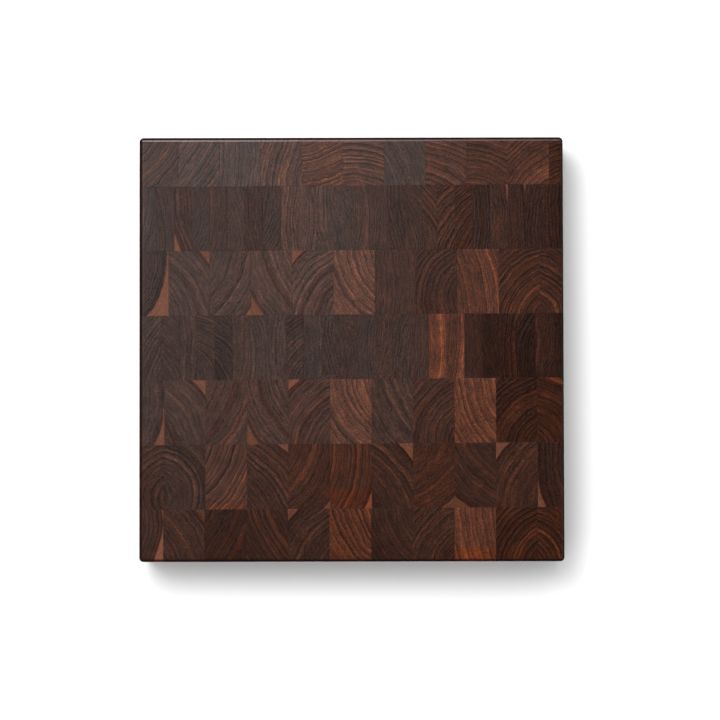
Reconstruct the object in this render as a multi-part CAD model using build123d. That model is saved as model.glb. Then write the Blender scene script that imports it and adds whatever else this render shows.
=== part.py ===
from build123d import *
import os

# A square butcher block: seven rows of hardwood staves, stood on end and glued face to face.
# All sizes are in millimetres. X runs along the rows from left to right, Y from the front row
# to the back row, and Z is up. The origin is the middle of the face that the board rests on.

board_side = 300.0
board_thickness = 40.0
edge_radius = 3.0  # the round-over along the eight long edges
corner_radius = 3.0  # the rounding of the four upright corners

# The board is trimmed square after gluing, so the rows run slightly out of line with its sides.
row_tilt_degrees = 0.33
row_depth = 45.6
back_row_depth = 34.4  # the back row is trimmed, and the front row takes what is left

# Each row from back to front: the width that trimming leaves of its first stave, then runs of
# equal staves as (how many, width). One more stave fills the row up to the right side.
rows = [
    ("back_row", 28.4, [(9, 29.15)]),
    ("row_2", 12.9, [(15, 12.55), (1, 10.2), (6, 12.5)]),
    ("row_3", 21.1, [(9, 29.15)]),
    ("row_4", 15.8, [(22, 12.58)]),
    ("row_5", 17.6, [(9, 29.25)]),
    ("row_6", 17.0, [(9, 29.3)]),
    ("front_row", 16.4, [(9, 29.3)]),
]
narrow_rows = ("row_2", "row_4")  # rows of thin staves, each row kept as one node

overrun = 20.0  # how far the untrimmed grid reaches past the finished board


def finished_outline():
    """The whole board as one solid, square, with every outer edge rounded."""
    blank = Box(
        board_side,
        board_side,
        board_thickness,
        align=(Align.CENTER, Align.CENTER, Align.MIN),
    )
    blank = fillet(blank.edges().filter_by(Axis.Z), corner_radius)
    faces_up_and_down = blank.faces().filter_by(Axis.Z)
    return fillet(faces_up_and_down.edges(), edge_radius)


def row_limits(index):
    """The front and back Y of a row, before the grid is tilted."""
    back = board_side / 2
    if index > 0:
        back = back - back_row_depth - (index - 1) * row_depth
    front = board_side / 2 - back_row_depth - index * row_depth
    if index == 0:
        back = back + overrun
    if index == len(rows) - 1:
        front = -board_side / 2 - overrun
    return front, back


def stave_limits(first_width, runs):
    """The left and right X of each stave in a row, before the grid is tilted."""
    seams = [-board_side / 2 + first_width]
    for count, width in runs:
        for _ in range(count):
            seams.append(seams[-1] + width)
    lefts = [-board_side / 2 - overrun] + seams
    rights = seams + [board_side / 2 + overrun]
    return list(zip(lefts, rights))


def stave(left, right, front, back, outline):
    """One stave: the part of the finished board that lies in its cell of the tilted grid."""
    cell = Box(right - left, back - front, board_thickness * 2)
    centre = Pos((left + right) / 2, (front + back) / 2, board_thickness / 2)
    return outline & (Rot(0, 0, row_tilt_degrees) * centre * cell)


def row_staves(index, outline):
    """All staves of one row, from left to right."""
    _, first_width, runs = rows[index]
    front, back = row_limits(index)
    return [
        stave(left, right, front, back, outline)
        for left, right in stave_limits(first_width, runs)
    ]


def write_single_staves(row_name, staves):
    """A row of wide staves: one node for each stave."""
    for number, piece in enumerate(staves, start=1):
        piece = piece.solid()
        piece.label = f"{row_name}_stave_{number:02d}"
        export_step(piece, f"parts/{piece.label}.step")


def write_stave_group(row_name, staves):
    """A row of thin staves: one node that holds them all as separate solids."""
    group = Compound(children=[piece.solid() for piece in staves])
    group.label = f"{row_name}_thin_staves"
    export_step(group, f"parts/{group.label}.step")


os.makedirs("parts", exist_ok=True)
outline = finished_outline()
stave_count = 0
total_volume = 0.0
for index, (row_name, _, _) in enumerate(rows):
    staves = row_staves(index, outline)
    if row_name in narrow_rows:
        write_stave_group(row_name, staves)
    else:
        write_single_staves(row_name, staves)
    stave_count += len(staves)
    total_volume += sum(piece.volume for piece in staves)

print(f"{stave_count} staves, volume {total_volume:.1f} of {outline.volume:.1f} mm3")
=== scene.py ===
"""A square end-grain cutting board: every stave is its own piece of oiled walnut, standing on end.

The CAD gives each stave's shape. This script adds the wood: growth rings about each stave's own
pith, sapwood, rays, pores and speckle, all worked out in space, so that the faces show end grain
and the sides show the same rings as long grain. It also sets the floor, the light and the camera.
"""

import itertools
import math
from collections import namedtuple

import bmesh
import bpy
from mathutils import Euler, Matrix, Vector


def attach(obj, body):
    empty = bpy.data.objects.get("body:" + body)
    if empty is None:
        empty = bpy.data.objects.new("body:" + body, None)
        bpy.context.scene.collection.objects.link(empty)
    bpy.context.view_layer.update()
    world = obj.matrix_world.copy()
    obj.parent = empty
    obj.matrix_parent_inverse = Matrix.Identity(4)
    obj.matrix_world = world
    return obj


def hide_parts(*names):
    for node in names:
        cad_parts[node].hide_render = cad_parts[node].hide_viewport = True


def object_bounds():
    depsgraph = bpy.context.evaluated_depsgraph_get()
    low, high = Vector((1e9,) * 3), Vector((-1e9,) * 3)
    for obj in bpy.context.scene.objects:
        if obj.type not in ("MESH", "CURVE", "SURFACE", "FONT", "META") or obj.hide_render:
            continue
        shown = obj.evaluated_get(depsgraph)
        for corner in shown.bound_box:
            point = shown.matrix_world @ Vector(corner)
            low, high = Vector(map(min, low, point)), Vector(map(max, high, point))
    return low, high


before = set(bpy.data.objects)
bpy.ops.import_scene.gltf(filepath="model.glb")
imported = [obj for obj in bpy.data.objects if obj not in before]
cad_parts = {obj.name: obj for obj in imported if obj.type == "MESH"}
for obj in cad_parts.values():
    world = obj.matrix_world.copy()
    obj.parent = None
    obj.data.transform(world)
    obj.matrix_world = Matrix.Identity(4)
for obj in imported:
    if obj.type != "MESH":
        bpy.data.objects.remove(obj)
cad_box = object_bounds()

MM = 0.001
ROW_TILT = math.radians(0.33)  # the rows run slightly out of line with the board's sides
ALONG_ROW = Vector((math.cos(ROW_TILT), math.sin(ROW_TILT), 0))
ACROSS_ROW = Vector((-math.sin(ROW_TILT), math.cos(ROW_TILT), 0))

# ---------------------------------------------------------------- the wood of each stave

# pith: where the tree's centre lay, in mm from the stave's middle (x right, y towards the back)
# rings: the mean ring width in mm, and contrast how strongly the rings show
# shade: how light the heartwood is, where 1 leaves the colours named below as they are
# red: from grey-brown (0) to red-brown (1)
# sap: the distance from the pith in mm at which sapwood starts, and sap_shade how light it is
# foot: how far in mm from the stave's front end the wood is a warmer red-brown
# bands: up to three marked rings, as (distance from the pith, half-width, strength), where a
# strength above 0 is lighter and below 0 is darker
Wood = namedtuple("Wood", "pith rings shade red contrast sap sap_shade foot bands")
NO_SAPWOOD = 10000
NO_BAND = (10000, 1.0, 0.0)
BAND_NUMBERS = (1, 2, 3)


def wood(pith, rings, shade, red, contrast=0.5, sap=NO_SAPWOOD, sap_shade=1.0, foot=0.0, bands=()):
    return Wood(pith, rings, shade, red, contrast, sap, sap_shade, foot, bands)


WIDE_ROWS = {
    "back_row": [
        wood((-84, 71), 3.2, 1.15, 0.3, 0.9),
        wood((-112, 71), 3.4, 1.55, 0.1, 0.9, bands=[(122, 1.0, 0.25)]),
        wood((-200, 10), 3.0, 1.75, 0.0, 0.55),
        wood((90, -25), 3.4, 1.65, 0.2, 0.5, bands=[(105, 2.2, 0.3), (92, 3.0, 0.3)]),
        wood((-20, 53), 3.1, 1.7, 0.55, 0.8, bands=[(65, 1.2, -0.35), (60, 2.0, 0.2)]),
        wood((-10, -65), 3.4, 1.85, 0.3, 0.7),
        wood((-90, -35), 3.6, 1.5, 0.0, 0.3, bands=[(85, 0.8, 0.4), (96.5, 1.5, 0.2)]),
        wood((-27, -61), 4.3, 1.5, 0.45, 0.6, bands=[(61.7, 1.4, -0.3), (70.6, 1.4, -0.3)]),
        wood((-14, -48), 4.0, 1.25, 0.6, 0.55, bands=[(59.5, 1.5, -0.3), (44, 1.5, -0.3)]),
        wood((37, -47), 3.8, 1.3, 0.65, 0.55, bands=[(65.7, 1.2, -0.4), (47, 5.0, 0.5)]),
        wood((18, -47), 3.4, 0.65, 1.0, 0.7),
    ],
    "row_3": [
        wood((-48, 15), 3.0, 0.75, 0.35, 0.55, sap=56.5),
        wood((-50, -31), 3.4, 1.45, 0.15, 0.35, sap=78, sap_shade=0.85,
             bands=[(60.5, 1.0, 0.35), (57, 1.5, -0.5), (76, 1.0, -0.4)]),
        wood((-72, 39), 3.4, 1.3, 0.25, 0.35, sap=102,
             bands=[(84, 1.5, -0.7), (86.5, 1.0, 0.4), (100.5, 1.2, -0.4)]),
        wood((72, 39), 3.4, 1.75, 0.2, 0.35, sap=100, sap_shade=0.9,
             bands=[(75, 1.0, 0.3), (80, 2.0, -0.6), (84, 0.8, 0.4)]),
        wood((38, -29), 3.4, 1.8, 0.2, 0.35, sap=68,
             bands=[(50.5, 1.0, 0.25), (47.5, 1.5, -0.7), (36, 3.0, -0.4)]),
        wood((52, 30), 3.9, 2.4, 0.4, 0.5),
        wood((-150, 0), 3.4, 1.05, 0.4, 0.2),
        wood((29, -11), 3.4, 0.85, 0.55, 0.35,
             bands=[(42.5, 1.0, 0.3), (28, 2.5, 0.25), (46, 1.5, -0.4)]),
        wood((-109, -20), 3.9, 1.4, 0.7, 0.65, bands=[(115.5, 1.8, 0.4), (121.5, 1.4, 0.4)]),
        wood((30, -31), 3.4, 0.85, 0.8, 0.7,
             bands=[(32, 2.0, 0.7), (37, 1.0, 0.4), (53, 1.0, 0.2)]),
        wood((-23, -31), 3.4, 0.85, 0.65, 0.7, bands=[(28.2, 1.6, 0.7), (46, 1.0, 0.2)]),
    ],
    "row_5": [
        wood((-73, 12), 3.0, 1.25, 0.15, 0.3, sap=81.3),
        wood((-50, -31), 3.4, 1.35, 0.15, 0.35, sap=76.5,
             bands=[(59, 1.0, 0.4), (42, 5.0, -0.5), (67, 2.0, 0.2)]),
        wood((-72, 39), 3.4, 1.25, 0.35, 0.35,
             bands=[(80.5, 3.0, -0.6), (91.5, 0.7, -0.9), (92.5, 3.0, 0.45)]),
        wood((72, 39), 3.4, 1.5, 0.25, 0.35, sap=99, sap_shade=0.9,
             bands=[(84.5, 1.0, 0.3), (73.5, 1.0, 0.2), (81, 2.0, -0.5)]),
        wood((38, -29), 3.4, 1.3, 0.35, 0.35, sap=69.5,
             bands=[(50, 0.9, 0.4), (58.5, 2.0, 0.25), (46.5, 2.0, -0.5)]),
        wood((52, 30), 3.9, 2.2, 0.45, 0.5),
        wood((58, 34), 3.4, 1.3, 0.2, 0.35,
             bands=[(64, 1.2, 0.6), (74, 1.2, 0.25), (57.5, 0.8, 0.2)]),
        wood((32, -23), 3.4, 1.05, 0.5, 0.35,
             bands=[(50, 1.2, 0.4), (46.5, 1.5, -0.5), (20, 6.0, -0.4)]),
        wood((63, 27), 3.9, 2.0, 0.7, 0.55),
        wood((30, -31), 3.4, 0.5, 1.0, 0.6, bands=[(51, 2.0, -0.4), (45, 5.0, 0.35)]),
        wood((-23, -31), 3.4, 0.7, 0.9, 0.6,
             bands=[(54.5, 1.0, -0.4), (59, 2.5, 0.9), (47, 1.5, 0.4)]),
    ],
    "row_6": [
        wood((16, -13), 4.2, 0.95, 0.5, 0.6, bands=[(31, 1.2, 0.4)]),
        wood((-24, -13), 3.8, 0.95, 0.25, 0.5,
             bands=[(31, 1.6, 0.25), (43, 3.0, 0.25), (38, 2.0, -0.4)]),
        wood((-59, 35), 3.6, 1.35, 0.55, 0.8, foot=5),
        wood((-67, -59), 3.4, 0.95, 0.45, 0.5, sap=111,
             bands=[(93.3, 1.2, 0.55), (99.5, 1.5, 0.3), (104.5, 1.2, 0.2)]),
        wood((-51, 31), 3.6, 0.8, 0.85, 0.6, sap=80.5, sap_shade=0.8,
             bands=[(54, 2.0, 0.35), (72, 7.0, -0.35), (50, 1.2, -0.3)]),
        wood((-73, 18), 3.5, 0.85, 0.9, 0.8, sap=91, foot=14, bands=[(62, 5.0, 0.3)]),
        wood((-57, -42), 3.4, 0.85, 0.5, 0.35, sap=88.7,
             bands=[(71.5, 1.0, 0.45), (79, 1.8, 0.45), (50, 3.0, -0.4)]),
        wood((-45, 47), 3.4, 0.8, 0.9, 0.3, sap=85, sap_shade=0.7,
             bands=[(57.5, 1.5, 0.3), (69, 1.3, 0.35), (75.5, 1.0, 0.2)]),
        wood((46, 47), 3.4, 0.9, 0.5, 0.3, sap=86.3, sap_shade=0.7,
             bands=[(60, 1.5, 0.3), (70, 1.0, 0.45), (83.5, 2.0, -0.3)]),
        wood((45, -26), 3.4, 0.9, 0.6, 0.3, sap=71,
             bands=[(55.5, 1.0, 0.45), (62, 1.8, 0.35), (50, 1.5, 0.2)]),
        wood((109, 16), 3.4, 0.7, 0.5, 0.4, sap=120),
    ],
    "front_row": [
        wood((-73, 14), 3.0, 0.95, 0.45, 0.6, sap=80.6, sap_shade=1.25),
        wood((-50, -31), 3.4, 1.0, 0.45, 0.55, sap=76, sap_shade=0.6,
             bands=[(57, 1.0, 0.5), (65, 2.0, 0.15), (74, 1.5, -0.25)]),
        wood((-72, 39), 3.4, 0.5, 1.0, 0.6,
             bands=[(91, 1.0, 0.6), (83, 2.5, 0.1), (75, 5.0, -0.2)]),
        wood((72, 39), 3.4, 0.75, 0.65, 0.5,
             bands=[(84.5, 1.0, 0.35), (75.5, 1.3, 0.4), (71.5, 1.2, -0.3)]),
        wood((38, -29), 3.4, 0.8, 0.55, 0.35, sap=67, sap_shade=0.8,
             bands=[(48, 1.2, 0.5), (54.5, 1.2, 0.25), (64.5, 2.0, -0.25)]),
        wood((52, 30), 3.9, 1.45, 0.85, 0.7),
        wood((58, 34), 3.4, 0.8, 0.5, 0.35,
             bands=[(57, 3.0, 0.15), (66.5, 0.8, 0.15), (82, 7.0, -0.4)]),
        wood((32, -23), 3.4, 0.9, 0.6, 0.35,
             bands=[(49, 1.0, 0.35), (35, 2.0, 0.2), (22, 5.0, -0.35)]),
        wood((110, 20), 4.4, 1.9, 0.7, 0.6, foot=10),
        wood((28, -22), 3.4, 0.6, 1.0, 0.6, bands=[(30, 3.0, 0.5), (44, 1.5, -0.3)]),
        wood((-22, -22), 3.4, 0.75, 0.85, 0.6, bands=[(28, 1.2, 0.55)]),
    ],
}

THIN_ROWS = {
    "row_2": [
        wood((-120, 20), 2.6, 1.1, 0.1),
        wood((-110, -15), 2.6, 0.85, 0.3, bands=[(116.5, 0.9, 0.3)]),
        wood((74, 17), 2.8, 0.85, 0.5, sap=85.8),
        wood((-90, 20), 2.6, 0.8, 0.3, 0.25),
        wood((-130, 10), 2.6, 0.8, 0.5, bands=[(125, 1.3, 0.3)]),
        wood((-100, -20), 2.6, 0.95, 0.35, 0.3),
        wood((100, 15), 2.6, 0.8, 0.4, 0.3),
        wood((-110, 30), 2.6, 0.75, 0.4, 0.3),
        wood((150, 0), 2.6, 1.7, 0.25, bands=[(155, 0.9, 0.35)]),
        wood((-150, 0), 2.8, 1.5, 0.25),
        wood((90, 10), 2.6, 1.6, 0.1, 0.3),
        wood((-80, -30), 2.6, 1.3, 0.1, 0.3),
        wood((-120, 0), 2.6, 1.15, 0.3, 0.3, bands=[(123.5, 1.6, 0.3)]),
        wood((-140, 0), 2.6, 1.05, 0.35, 0.3, bands=[(145.7, 0.7, 0.4)]),
        wood((120, 20), 2.6, 0.95, 0.25, 0.3),
        wood((-100, -40), 2.6, 0.9, 0.4, 0.3),
        wood((-53, -31), 2.8, 0.9, 0.6, 0.7),
        wood((49, -37), 2.8, 0.85, 0.7, 0.8, bands=[(63.5, 1.0, 0.35), (56, 1.2, 0.25)]),
        wood((51, -43), 2.8, 0.65, 1.0, 0.6),
        wood((-120, 0), 2.6, 0.4, 0.9, 0.3, bands=[(114.7, 0.7, 0.4)]),
        wood((-200, -14), 2.6, 0.8, 0.75, 0.3, sap=206.5),
        wood((-200, -17), 2.6, 0.55, 0.95, 0.3, sap=207.3),
        wood((90, -10), 2.6, 0.6, 0.6, 0.3),
        wood((400, 0), 2.6, 0.5, 0.9, 0.3, bands=[(396.6, 4.5, -0.45)]),
    ],
    "row_4": [
        wood((64, -37), 2.8, 1.3, 0.1, 0.3, bands=[(71, 1.0, -0.4)]),
        wood((-56, -45), 2.8, 1.1, 0.15, 0.3, bands=[(71, 1.0, -0.4)]),
        wood((-130, 0), 2.6, 1.05, 0.2, 0.3, bands=[(127.2, 0.8, 0.3), (133.5, 0.8, 0.3)]),
        wood((-17, -22), 1.9, 1.1, 0.15, 0.5),
        wood((-39, -37), 2.2, 0.85, 0.1, 0.5, bands=[(38, 6.0, -0.4)]),
        wood((-120, 10), 2.6, 1.25, 0.3, 0.3),
        wood((-110, -10), 2.6, 1.25, 0.1, 0.3, bands=[(105.4, 0.9, 0.3)]),
        wood((130, 0), 2.6, 1.45, 0.05, 0.3, bands=[(124.3, 0.8, 0.35)]),
        wood((30, -30), 2.6, 1.15, 0.15, 0.4,
             bands=[(42.5, 0.9, 0.35), (39, 0.8, 0.3), (57, 6.0, -0.4)]),
        wood((-100, 0), 2.6, 1.1, 0.05, 0.3, bands=[(105.5, 0.9, 0.35)]),
        wood((90, 20), 2.6, 1.25, 0.05, 0.3),
        wood((-90, -15), 2.6, 1.05, 0.2, 0.3),
        wood((100, 0), 2.6, 1.3, 0.05, 0.3, bands=[(94.3, 0.7, 0.35)]),
        wood((-120, 20), 2.6, 1.1, 0.3, 0.3),
        wood((110, -20), 2.6, 1.15, 0.15, 0.3),
        wood((-130, 10), 2.6, 1.05, 0.35, 0.3),
        wood((-118, 1), 2.6, 1.75, 0.85, 0.45, bands=[(122, 2.6, 0.5)]),
        wood((-197, 16), 2.5, 1.25, 0.75, 0.45, bands=[(203.0, 3.2, 0.8)]),
        wood((-110, 0), 2.6, 0.6, 0.85, 0.3),
        wood((100, 30), 2.6, 0.4, 0.8, 0.3),
        wood((120, 0), 2.6, 0.4, 1.0, 0.4, bands=[(117.5, 1.2, 0.35), (121, 1.0, 0.3)]),
        wood((40, -7), 2.6, 0.3, 0.9, 0.3, bands=[(53.5, 3.0, 0.9), (49, 0.8, -0.3)]),
        wood((-130, 10), 2.6, 0.5, 0.95, 0.4, bands=[(124.5, 1.2, 0.5)]),
        wood((-150, 0), 2.6, 0.4, 1.0, 0.4),
    ],
}


# ---------------------------------------------------------------- shader nodes


class Shader:
    """Adds nodes to one material. Most methods return the new node's output socket."""

    def __init__(self, name):
        self.material = bpy.data.materials.new(name)
        self.material.use_nodes = True
        self.tree = self.material.node_tree
        self.tree.nodes.clear()

    def node(self, kind, **settings):
        made = self.tree.nodes.new(kind)
        for key, value in settings.items():
            setattr(made, key, value)
        return made

    def feed(self, socket, value):
        if isinstance(value, bpy.types.NodeSocket):
            self.tree.links.new(value, socket)
        else:
            socket.default_value = value

    def math(self, operation, *values, clamp=False):
        made = self.node("ShaderNodeMath", operation=operation, use_clamp=clamp)
        for socket, value in zip(made.inputs, values):
            self.feed(socket, value)
        return made.outputs[0]

    def vector(self, x, y, z=0.0):
        made = self.node("ShaderNodeCombineXYZ")
        for socket, value in zip(made.inputs, (x, y, z)):
            self.feed(socket, value)
        return made.outputs[0]

    def split(self, vector):
        made = self.node("ShaderNodeSeparateXYZ")
        self.feed(made.inputs[0], vector)
        return made.outputs

    def scaled(self, vector, factor):
        made = self.node("ShaderNodeVectorMath", operation="SCALE")
        self.feed(made.inputs[0], vector)
        self.feed(made.inputs["Scale"], factor)
        return made.outputs[0]

    def tinted(self, colour, tint):
        made = self.node("ShaderNodeVectorMath", operation="MULTIPLY")
        self.feed(made.inputs[0], colour)
        self.feed(made.inputs[1], tint)
        return made.outputs[0]

    def noise(self, vector, size, detail, roughness=0.5):
        """Noise from 0 to 1, with lumps of about the given size."""
        made = self.node("ShaderNodeTexNoise")
        self.feed(made.inputs["Vector"], vector)
        self.feed(made.inputs["Scale"], 1.0 / size)
        self.feed(made.inputs["Detail"], detail)
        self.feed(made.inputs["Roughness"], roughness)
        return made.outputs[0]

    def swing(self, noise, amount):
        """Noise from 0 to 1 as a swing about 0."""
        return self.math("MULTIPLY", self.math("SUBTRACT", noise, 0.5), amount)

    def ease(self, value, low, high, to_low=0.0, to_high=1.0):
        """A smooth step from to_low to to_high as value goes from low to high."""
        made = self.node("ShaderNodeMapRange", interpolation_type="SMOOTHSTEP")
        for socket, given in zip(made.inputs, (value, low, high, to_low, to_high)):
            self.feed(socket, given)
        return made.outputs[0]

    def mix(self, factor, first, second):
        made = self.node("ShaderNodeMix", data_type="RGBA")
        self.feed(made.inputs["Factor"], factor)
        self.feed(made.inputs[6], first)
        self.feed(made.inputs[7], second)
        return made.outputs[2]

    def stave(self, name):
        """Three numbers noted on the polygons of each stave, as note_wood() says."""
        made = self.node("ShaderNodeAttribute", attribute_type="GEOMETRY", attribute_name=name)
        return made.outputs["Vector"]


def linear(red, green, blue):
    """A colour as a paint program gives it, 0 to 255, in the renderer's linear light."""
    return tuple((channel / 255) ** 2.2 for channel in (red, green, blue)) + (1.0,)


GREY_HEARTWOOD = linear(44, 35, 32)
RED_HEARTWOOD = linear(58, 32, 21)
SAPWOOD = linear(88, 55, 41)
NO_TINT = (1, 1, 1, 1)
BAND_GAIN = (2.7, 2.4, 2.1, 1)  # how much lighter a marked ring is at strength 1
BAND_LOSS = (0.55, 0.34, 0.27, 1)  # how much darker a marked ring can be
DARK_GAIN = 1.3  # how much more a dark ring shows than a light one of the same strength
PORE_LOSS = 0.4  # the share of the light that a pore takes away
SEAM_LOSS = 0.12  # and the share that a glued seam does
SAP_MARGIN = (0.78, 0.64, 0.58, 1)  # the darker margin of the heartwood beside the sapwood
WARM_TINT = (1.3, 0.95, 0.6, 1)  # the warmer wood at a stave's foot
RIM_SHADE_TINT = (0.34, 0.13, 0.07, 1)  # painted shade: how the colour is darkened on the round-over

UPRIGHT_STRETCH = 0.04  # how fast the wood changes up a stave, against 1 across it
PITH_LEAN = (0.02, -0.015)  # how far the pith wanders, in mm for each mm of height
RING_WAVES = ((20.0, 4.0), (6.0, 0.9), (1.5, 0.25))  # size and depth of waves in the rings

# How far apart the seeds can put the noise of two staves.
LUMP_SPREAD = 37.0
STREAK_SPREAD = 53.0
RING_SPREAD = 91.0


class Walnut(Shader):
    """Oiled walnut, solid all through.

    Lengths are in mm. The light of rings and texture is in stops: one stop up doubles it.
    """

    def __init__(self):
        super().__init__("oiled_walnut")
        place = self.scaled(self.node("ShaderNodeTexCoord").outputs["Object"], 1 / MM)
        self.x, self.y, self.z = self.split(place)
        self.sap_start, self.seed, self.sap_shade = self.split(self.stave("sapwood"))

        # The place in space, drawn out upwards, so that the sides show long grain.
        upward = self.math("MULTIPLY_ADD", self.z, UPRIGHT_STRETCH, self.own_offset(LUMP_SPREAD))
        self.upright = self.vector(self.x, self.y, upward)

        self.measure_from_pith()
        self.grow_rings()
        self.add_texture()
        self.find_seams()
        self.find_round_over()
        self.finish_surface(self.colour())

    def own_offset(self, spread):
        """A different offset for each stave, so that no two of them share their noise."""
        return self.math("MULTIPLY", self.seed, spread)

    def lumps(self, size, detail, amount, roughness=0.5):
        """Noise in upright lumps, as a swing about 0."""
        return self.swing(self.noise(self.upright, size, detail, roughness), amount)

    def streaks(self, thickness, length, detail, amount):
        """Noise drawn out along the rings, as a swing about 0."""
        place = self.vector(
            self.math("DIVIDE", self.distance, thickness),
            self.math("DIVIDE", self.x, length),
            self.math("MULTIPLY_ADD", self.y, 1 / length, self.own_offset(STREAK_SPREAD)),
        )
        return self.swing(self.noise(place, 1.0, detail, roughness=0.6), amount)

    def measure_from_pith(self):
        """The distance from the pith, with wavy rings, and the direction away from it."""
        pith_x, pith_y, self.ring_width = self.split(self.stave("pith"))
        lean_x, lean_y = PITH_LEAN
        off_x = self.math("SUBTRACT", self.x, self.math("MULTIPLY_ADD", self.z, lean_x, pith_x))
        off_y = self.math("SUBTRACT", self.y, self.math("MULTIPLY_ADD", self.z, lean_y, pith_y))
        square_x = self.math("MULTIPLY", off_x, off_x)
        square_y = self.math("MULTIPLY", off_y, off_y)
        true_distance = self.math("SQRT", self.math("ADD", square_x, square_y))
        self.facing_x = self.math("DIVIDE", off_x, true_distance)
        self.facing_y = self.math("DIVIDE", off_y, true_distance)
        self.distance = true_distance
        for size, depth in RING_WAVES:
            wave = self.lumps(size, detail=1.0, amount=depth)
            self.distance = self.math("ADD", self.distance, wave)

    def grow_rings(self):
        """Growth rings of uneven width and strength: pale at first, ending in a thin dark line."""
        _, _, contrast = self.split(self.stave("tone"))
        ring_seed = self.own_offset(RING_SPREAD)
        rings = self.math("DIVIDE", self.distance, self.ring_width)
        pace = self.noise(self.vector(rings, ring_seed), size=2.2, detail=1.0)
        growth = self.math("ADD", rings, self.swing(pace, 2.0))

        # How far through its ring a place is, from 0 at the start to 1 at the end. Each pair says
        # where in the ring something begins and where it is full.
        self.within = self.math("FRACT", growth)
        early_begins = (0.0, 0.05)
        early_fades_back_to = (0.45, 0.08)
        late_begins = (0.50, 0.93)
        late_stops_short_of = (1.0, 0.95)
        starting = self.ease(self.within, *early_begins)
        fading = self.ease(self.within, *early_fades_back_to)
        darkening = self.ease(self.within, *late_begins)
        ending = self.ease(self.within, *late_stops_short_of)
        early = self.math("MULTIPLY", starting, fading)
        self.late = self.math("MULTIPLY", darkening, ending)
        early_gain = self.math("MULTIPLY", early, 0.8)
        late_loss = self.math("MULTIPLY", self.late, 1.2)
        light = self.math("SUBTRACT", early_gain, late_loss)

        # Each year's ring is stronger or weaker, and lighter or darker, than the next.
        weakest_year = 0.25
        stronger_by = 1.3
        lighter_by = 0.5
        year = self.node("ShaderNodeTexWhiteNoise", noise_dimensions="2D")
        self.feed(year.inputs["Vector"], self.vector(self.math("FLOOR", growth), ring_seed))
        lean_year, strong_year, _ = self.split(year.outputs["Color"])
        strength = self.math("MULTIPLY_ADD", strong_year, stronger_by, weakest_year)
        light = self.math("MULTIPLY", light, strength)
        light = self.math("ADD", light, self.swing(lean_year, lighter_by))
        self.ring_light = self.math("MULTIPLY", light, contrast)

    def add_texture(self):
        """Fine and broad lines along the rings, rays across them, speckle, mottle and pores."""
        self.fine_lines = self.streaks(thickness=0.7, length=5.0, detail=1.0, amount=1.9)
        broad_lines = self.streaks(thickness=2.2, length=12.0, detail=1.0, amount=1.0)
        rays_per_radian = 110.0
        breaks_per_mm = 0.14  # along a ray
        ray_place = self.vector(
            self.math("MULTIPLY", self.facing_x, rays_per_radian),
            self.math("MULTIPLY", self.facing_y, rays_per_radian),
            self.math("MULTIPLY", self.distance, breaks_per_mm),
        )
        rays = self.swing(self.noise(ray_place, size=1.0, detail=1.0), 0.6)
        self.speckle = self.lumps(0.9, detail=1.0, roughness=0.7, amount=2.7)
        mottle = self.lumps(12.0, detail=3.0, amount=1.1)
        self.light = self.ring_light
        for layer in (self.fine_lines, broad_lines, rays, self.speckle, mottle):
            self.light = self.math("ADD", self.light, layer)

        # Pores are dots on end grain, deepest where a ring begins and faint where it ends.
        pores_per_mm = 1.6
        pore_edge = (0.34, 0.16)
        faintest = 0.3
        cells = self.node("ShaderNodeTexVoronoi", feature="F1")
        self.feed(cells.inputs["Vector"], self.upright)
        self.feed(cells.inputs["Scale"], pores_per_mm)
        dots = self.ease(cells.outputs["Distance"], *pore_edge)
        depth = self.ease(self.within, 0.8, 0.1, to_low=faintest)
        self.pores = self.math("MULTIPLY", dots, depth)

    def find_seams(self):
        """Where the glued seams run, and how far a place is from the stave's front end."""
        along = self.board_place(ALONG_ROW)
        across = self.board_place(ACROSS_ROW)
        middle_along, middle_across, _ = self.split(self.stave("middle"))
        half_along, half_across, self.foot = self.split(self.stave("half"))
        off_along = self.math("SUBTRACT", along, middle_along)
        off_across = self.math("SUBTRACT", across, middle_across)
        to_side = self.math("SUBTRACT", half_along, self.math("ABSOLUTE", off_along))
        to_end = self.math("SUBTRACT", half_across, self.math("ABSOLUTE", off_across))
        seam_edge = (0.30, 0.10)
        self.seam = self.ease(self.math("MINIMUM", to_side, to_end), *seam_edge)
        self.from_front = self.math("ADD", off_across, half_across)

    def board_place(self, direction):
        """How far along a level direction a place is."""
        part_x = self.math("MULTIPLY", self.x, direction.x)
        part_y = self.math("MULTIPLY", self.y, direction.y)
        return self.math("ADD", part_x, part_y)

    def find_round_over(self):
        """The round-over's edge: painted shade darkens its colour and it turns dull towards the
        side, and the glossy oil lies where the round-over starts.

        The painted shade is widest on the left and narrowest on the right. The oil lies mostly
        along the back edge.
        """
        half_board = (cad_box[1].x - cad_box[0].x) / 2 / MM
        thickness = (cad_box[1].z - cad_box[0].z) / MM
        # The painted shade along the edge reaches this much further in on the left, and stops this
        # much short on the right, in mm.
        wider_left = 0.5
        narrower_right = 0.9

        # Each pair is where something begins, and where it is full.
        rim_shade_from_edge = (2.6, 1.3)
        rim_shade_from_face = (3.4, 2.0)
        oil_from_back = (3.1, 2.6)
        oil_from_left = (3.4, 2.8)
        oil_from_face = (0.4, 0.15)
        oil_on_left = 0.15  # how much there is, against 1 at the back

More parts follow.
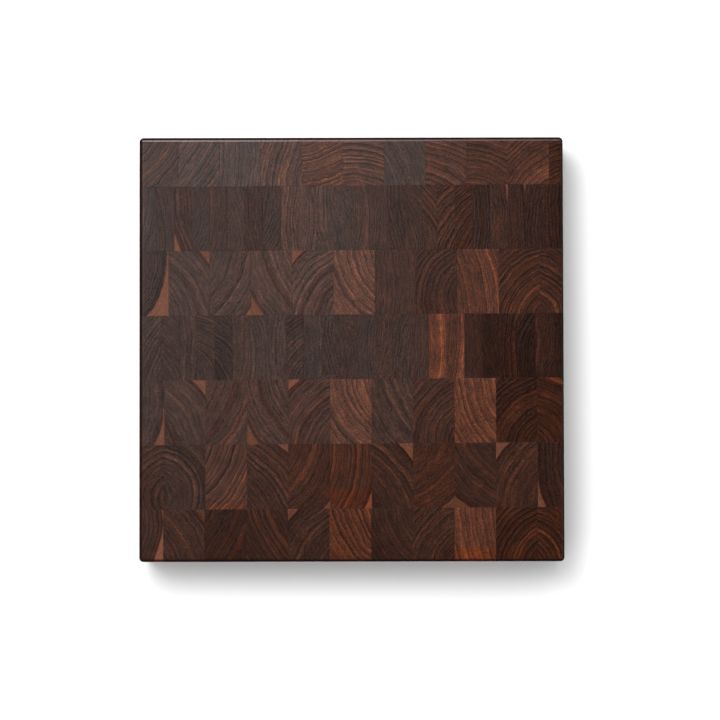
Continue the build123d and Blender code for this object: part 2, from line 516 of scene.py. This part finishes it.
        from_left = self.math("ADD", half_board, self.x)
        from_back = self.math("SUBTRACT", half_board, self.y)
        from_side = self.math(
            "MINIMUM",
            self.math("SUBTRACT", from_left, wider_left),
            self.math("SUBTRACT", half_board + narrower_right, self.x),
        )
        from_end = self.math("SUBTRACT", half_board, self.math("ABSOLUTE", self.y))
        from_edge = self.math("MINIMUM", from_side, from_end)
        from_face = self.math("MINIMUM", self.z, self.math("SUBTRACT", thickness, self.z))
        # Painted shade: a band along the round-over's edge where the colour is darkened, standing
        # in for the shade of its dark surroundings.
        near_edge = self.ease(from_edge, *rim_shade_from_edge)
        near_face = self.ease(from_face, *rim_shade_from_face)
        self.shaded_rim = self.math("MULTIPLY", near_edge, near_face)
        oiled_back = self.ease(from_back, *oil_from_back)
        oiled_left = self.ease(from_left, *oil_from_left, to_high=oil_on_left)
        oiled = self.math("MAXIMUM", oiled_back, oiled_left)
        self.glossy = self.math("MULTIPLY", oiled, self.ease(from_face, *oil_from_face))

    def tint_where(self, amount, colour, tint):
        """The colour, tinted where the amount is 1 and unchanged where it is 0."""
        return self.tinted(colour, self.mix(amount, NO_TINT, tint))

    def darken_where(self, amount, colour, loss):
        """The colour, less a share of its light where the amount is 1."""
        return self.scaled(colour, self.math("MULTIPLY_ADD", amount, -loss, 1.0))

    def colour(self):
        """The wood's colour, with everything that lies on or over it, and painted shade on the
        round-over's edge.
        """
        colour = self.heartwood()
        colour = self.mark_rings(colour)
        colour = self.add_sapwood(colour)
        colour = self.darken_where(self.pores, colour, PORE_LOSS)
        colour = self.warm_foot(colour)
        colour = self.darken_where(self.seam, colour, SEAM_LOSS)
        # painted shade along the round-over's edge
        return self.tint_where(self.shaded_rim, colour, RIM_SHADE_TINT)

    def heartwood(self):
        """From grey-brown to red-brown, redder where it is lighter."""
        redder_per_stop = 0.2
        shade, red, _ = self.split(self.stave("tone"))
        redness = self.math("MULTIPLY_ADD", self.light, redder_per_stop, red, clamp=True)
        lit = self.math("MULTIPLY", self.math("POWER", 2.0, self.light), shade)
        return self.scaled(self.mix(redness, GREY_HEARTWOOD, RED_HEARTWOOD), lit)

    def mark_rings(self, colour):
        """Marked rings: paler or darker, and broken up along their length."""
        mean_fill = 0.85
        ring_edge = (1.5, 0.2)  # in half-widths from its middle
        gaps = self.streaks(thickness=1.2, length=5.0, detail=2.0, amount=2.4)
        broken = self.math("ADD", gaps, mean_fill)
        for number in BAND_NUMBERS:
            middle, half_width, strength = self.split(self.stave(f"band_{number}"))
            away = self.math("ABSOLUTE", self.math("SUBTRACT", self.distance, middle))
            fill = self.ease(self.math("DIVIDE", away, half_width), *ring_edge)
            inside = self.math("MULTIPLY", fill, broken, clamp=True)
            lighter = self.math("MAXIMUM", strength, 0.0)
            darker = self.math("MAXIMUM", self.math("MULTIPLY", strength, -DARK_GAIN), 0.0)
            paler = self.math("MULTIPLY", inside, lighter, clamp=True)
            deeper = self.math("MULTIPLY", inside, darker, clamp=True)
            colour = self.tint_where(paler, colour, BAND_GAIN)
            colour = self.tint_where(deeper, colour, BAND_LOSS)
        return colour

    def add_sapwood(self, colour):
        """Sapwood, with a darker margin of heartwood just inside it."""
        margin_begins = (-4.5, -1.2)
        margin_stops_short_of = (0.3, -0.3)
        sapwood_begins = (-0.5, 0.5)
        beyond = self.math("SUBTRACT", self.distance, self.sap_start)
        deepening = self.ease(beyond, *margin_begins)
        ending = self.ease(beyond, *margin_stops_short_of)
        margin = self.math("MULTIPLY", deepening, ending)
        colour = self.tint_where(margin, colour, SAP_MARGIN)
        faint_rings = self.math("MULTIPLY", self.ring_light, 0.4)
        light = self.math("MULTIPLY_ADD", self.fine_lines, 0.6, faint_rings)
        light = self.math("MULTIPLY_ADD", self.speckle, 0.6, light)
        lit = self.math("MULTIPLY", self.math("POWER", 2.0, light), self.sap_shade)
        inside = self.ease(beyond, *sapwood_begins)
        return self.mix(inside, colour, self.scaled(SAPWOOD[:3], lit))

    def warm_foot(self, colour):
        """A warmer foot at the front end of the staves that have one."""
        foot_edge = (1.0, -1.5)
        ragged = self.math("ADD", self.from_front, self.lumps(4.0, detail=2.0, amount=3.0))
        near_front = self.ease(self.math("SUBTRACT", ragged, self.foot), *foot_edge)
        has_foot = self.math("GREATER_THAN", self.foot, 0.0)
        return self.tint_where(self.math("MULTIPLY", near_front, has_foot), colour, WARM_TINT)

    def finish_surface(self, colour):
        """Satin oil with a fine bump, dull on the shaded round-over edge and glossy where the oil
        lies thick.
        """
        shader = self.node("ShaderNodeBsdfPrincipled")
        self.feed(shader.inputs["Base Color"], colour)
        satin = 0.23
        dull_rim = 0.8
        speckled = self.math("MULTIPLY", self.speckle, 0.05)
        dull_pores = self.math("MULTIPLY", self.pores, 0.2)
        roughness = self.math("ADD", satin, self.math("ADD", speckled, dull_pores))
        roughness = self.math("MULTIPLY_ADD", self.shaded_rim, dull_rim, roughness, clamp=True)
        self.feed(shader.inputs["Roughness"], roughness)
        shader.inputs["Specular IOR Level"].default_value = 0.095
        self.feed(shader.inputs["Coat Weight"], self.math("MULTIPLY", self.glossy, 0.8))
        shader.inputs["Coat Roughness"].default_value = 0.12

        # Late wood and speckle stand up a little, and pores and seams lie low.
        height = self.math("SUBTRACT", self.math("MULTIPLY", self.late, 0.5), self.pores)
        fine_grain = self.math("ADD", self.speckle, self.fine_lines)
        height = self.math("ADD", height, self.math("MULTIPLY", fine_grain, 0.5))
        height = self.math("SUBTRACT", height, self.math("MULTIPLY", self.seam, 0.6))
        bump = self.node("ShaderNodeBump")
        bump.inputs["Strength"].default_value = 0.7
        bump.inputs["Distance"].default_value = 0.19 * MM
        self.feed(bump.inputs["Height"], height)
        self.feed(shader.inputs["Normal"], bump.outputs[0])
        self.feed(self.node("ShaderNodeOutputMaterial").inputs["Surface"], shader.outputs[0])


# ---------------------------------------------------------------- the staves


def extent(points, direction):
    """The lowest and highest place of the points along a direction."""
    places = [point.dot(direction) for point in points]
    return min(places), max(places)


def note_wood(mesh, polygons, grain, seed):
    """Notes one stave's wood on its polygons, in mm on the board, for the material to read."""
    corners = {corner for index in polygons for corner in mesh.polygons[index].vertices}
    points = [mesh.vertices[corner].co for corner in corners]
    left, right = extent(points, ALONG_ROW)
    front, back = extent(points, ACROSS_ROW)
    middle = Vector((left + right, front + back, 0)) / 2 / MM
    half = Vector((right - left, back - front, 0)) / 2 / MM
    centre = middle.x * ALONG_ROW + middle.y * ACROSS_ROW
    notes = {
        "middle": middle,
        "half": (half.x, half.y, grain.foot),
        "pith": (centre.x + grain.pith[0], centre.y + grain.pith[1], grain.rings),
        "tone": (grain.shade, grain.red, grain.contrast),
        "sapwood": (grain.sap, seed, grain.sap_shade),
    }
    for number in BAND_NUMBERS:
        given = number <= len(grain.bands)
        notes[f"band_{number}"] = grain.bands[number - 1] if given else NO_BAND
    for name, value in notes.items():
        layer = mesh.attributes.get(name) or mesh.attributes.new(name, "FLOAT_VECTOR", "FACE")
        for index in polygons:
            layer.data[index].vector = value


def stave_polygons(mesh):
    """The polygons of each separate stave in a thin row, from left to right."""
    inset = 1.0 * MM

    def place(polygon):
        """A point just inside the wood that the polygon bounds, measured along the row."""
        return (polygon.center - polygon.normal * inset).dot(ALONG_ROW)

    row_end = max(polygon.center.dot(ALONG_ROW) for polygon in mesh.polygons)
    square_on = 0.999  # the least cosine at which a polygon counts as facing along the row
    facing_right = [face for face in mesh.polygons if face.normal.dot(ALONG_ROW) > square_on]
    seams = []
    for end in sorted(polygon.center.dot(ALONG_ROW) for polygon in facing_right):
        inside_row = end < row_end - inset
        if inside_row and (not seams or end - seams[-1] > inset):
            seams.append(end)
    groups = [[] for _ in range(len(seams) + 1)]
    for polygon in mesh.polygons:
        groups[sum(place(polygon) > seam for seam in seams)].append(polygon.index)
    return groups


def part_of_row(name, source, polygons):
    """A new piece with some of the polygons of a CAD node's mesh, and their notes and normals."""
    solid = bmesh.new()
    solid.from_mesh(source)
    others = [face for face in solid.faces if face.index not in polygons]
    bmesh.ops.delete(solid, geom=others, context="FACES")
    mesh = bpy.data.meshes.new(name)
    solid.to_mesh(mesh)
    solid.free()
    mesh.shade_smooth()
    kept = [source.polygons[index] for index in sorted(polygons)]
    corners = [corner for polygon in kept for corner in polygon.loop_indices]
    mesh.normals_split_custom_set([source.corner_normals[corner].vector for corner in corners])
    piece = bpy.data.objects.new(name, mesh)
    bpy.context.scene.collection.objects.link(piece)
    return piece


def paint(piece):
    piece.data.materials.clear()
    piece.data.materials.append(oiled_walnut)


oiled_walnut = Walnut().material
seed_step = 0.618  # about the golden ratio, so that the seeds spread evenly from 0 to 1
seeds = (number * seed_step % 1 for number in itertools.count(1))

for row, woods in WIDE_ROWS.items():
    for number, grain in enumerate(woods, start=1):
        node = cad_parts[f"{row}_stave_{number:02d}"]
        note_wood(node.data, range(len(node.data.polygons)), grain, next(seeds))
        paint(node)

# Each thin row is shown as two pieces of twelve staves, small enough for a sharp finish.
for row, woods in THIN_ROWS.items():
    node_name = f"{row}_thin_staves"
    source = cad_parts[node_name].data
    staves = stave_polygons(source)
    for polygons, grain in zip(staves, woods, strict=True):
        note_wood(source, polygons, grain, next(seeds))
    middle_stave = len(staves) // 2
    for side, group in (("left", staves[:middle_stave]), ("right", staves[middle_stave:])):
        piece = part_of_row(f"{node_name}_{side}", source, set().union(*group))
        paint(piece)
        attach(piece, "root")
        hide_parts(node_name)


# ---------------------------------------------------------------- floor, light and camera

top = cad_box[1].z


def floor():
    """A plain pale floor, much larger than the view."""
    s = Shader("pale_floor")
    shader = s.node("ShaderNodeBsdfPrincipled")
    shader.inputs["Base Color"].default_value = (0.85, 0.85, 0.85, 1)
    shader.inputs["Roughness"].default_value = 0.9
    shader.inputs["Specular IOR Level"].default_value = 0.0
    s.feed(s.node("ShaderNodeOutputMaterial").inputs["Surface"], shader.outputs[0])
    mesh = bpy.data.meshes.new("floor")
    reach = 8.0  # in m from the board's middle
    corners = [(-reach, -reach, 0), (reach, -reach, 0), (reach, reach, 0), (-reach, reach, 0)]
    mesh.from_pydata(corners, [], [(0, 1, 2, 3)])
    mesh.materials.append(s.material)
    made = bpy.data.objects.new("floor", mesh)
    bpy.context.scene.collection.objects.link(made)


def softbox(name, direction, distance, width, height, power):
    """A rectangular area light aimed at the board's middle, its width level with the floor."""
    lamp = bpy.data.lights.new(name, "AREA")
    lamp.shape = "RECTANGLE"
    lamp.size = width
    lamp.size_y = height
    lamp.energy = power
    made = bpy.data.objects.new(name, lamp)
    place = Vector(direction).normalized() * distance
    made.location = place
    made.rotation_euler = place.to_track_quat("Z", "Y").to_euler()
    bpy.context.scene.collection.objects.link(made)


def studio():
    """Even white light from all sides, under a dark ceiling that leans to the front right."""
    ceiling_middle = Vector((0.14, -0.14, 1.0)).normalized()
    ceiling_edge = (0.74, 0.93)  # cosines from its middle, where it begins and where it is darkest
    strength = (1.2, 0.0)  # the light outside the ceiling, and the light from it
    world = bpy.data.worlds.new("studio")
    world.use_nodes = True
    tree = world.node_tree
    direction = tree.nodes.new("ShaderNodeTexCoord")
    overhead = tree.nodes.new("ShaderNodeVectorMath")
    overhead.operation = "DOT_PRODUCT"
    overhead.inputs[1].default_value = ceiling_middle
    ceiling = tree.nodes.new("ShaderNodeMapRange")
    ceiling.interpolation_type = "SMOOTHSTEP"
    for socket, value in zip(ceiling.inputs[1:], ceiling_edge + strength):
        socket.default_value = value
    tree.links.new(direction.outputs["Generated"], overhead.inputs[0])
    tree.links.new(overhead.outputs["Value"], ceiling.inputs["Value"])
    tree.links.new(ceiling.outputs[0], tree.nodes["Background"].inputs["Strength"])
    tree.nodes["Background"].inputs["Color"].default_value = (1, 1, 1, 1)
    bpy.context.scene.world = world


def camera():
    """Straight above the board, tipped a little, with the board up and left of the middle."""
    lens = bpy.data.cameras.new("camera")
    lens.sensor_width = 36.0
    distance = 1.5
    view_width = 0.5082  # the width in view at the board's top face
    lens.lens = lens.sensor_width * distance / view_width
    tip = math.radians(1.5)
    turn = math.radians(-0.12)
    aim = Vector((0.0060, -0.0078, top))
    made = bpy.data.objects.new("camera", lens)
    made.rotation_euler = Euler((tip, 0, turn))
    made.location = aim + made.rotation_euler.to_matrix() @ Vector((0, 0, distance))
    bpy.context.scene.collection.objects.link(made)
    bpy.context.scene.camera = made


floor()
softbox("key_softbox", (-0.38, 0.46, 1.2), distance=1.5, width=0.9, height=0.9, power=18.6)
softbox("back_softbox", (-0.1, 0.62, 0.9), distance=1.5, width=1.4, height=0.5, power=4.4)
studio()
bpy.context.scene.view_settings.view_transform = "Standard"
camera()
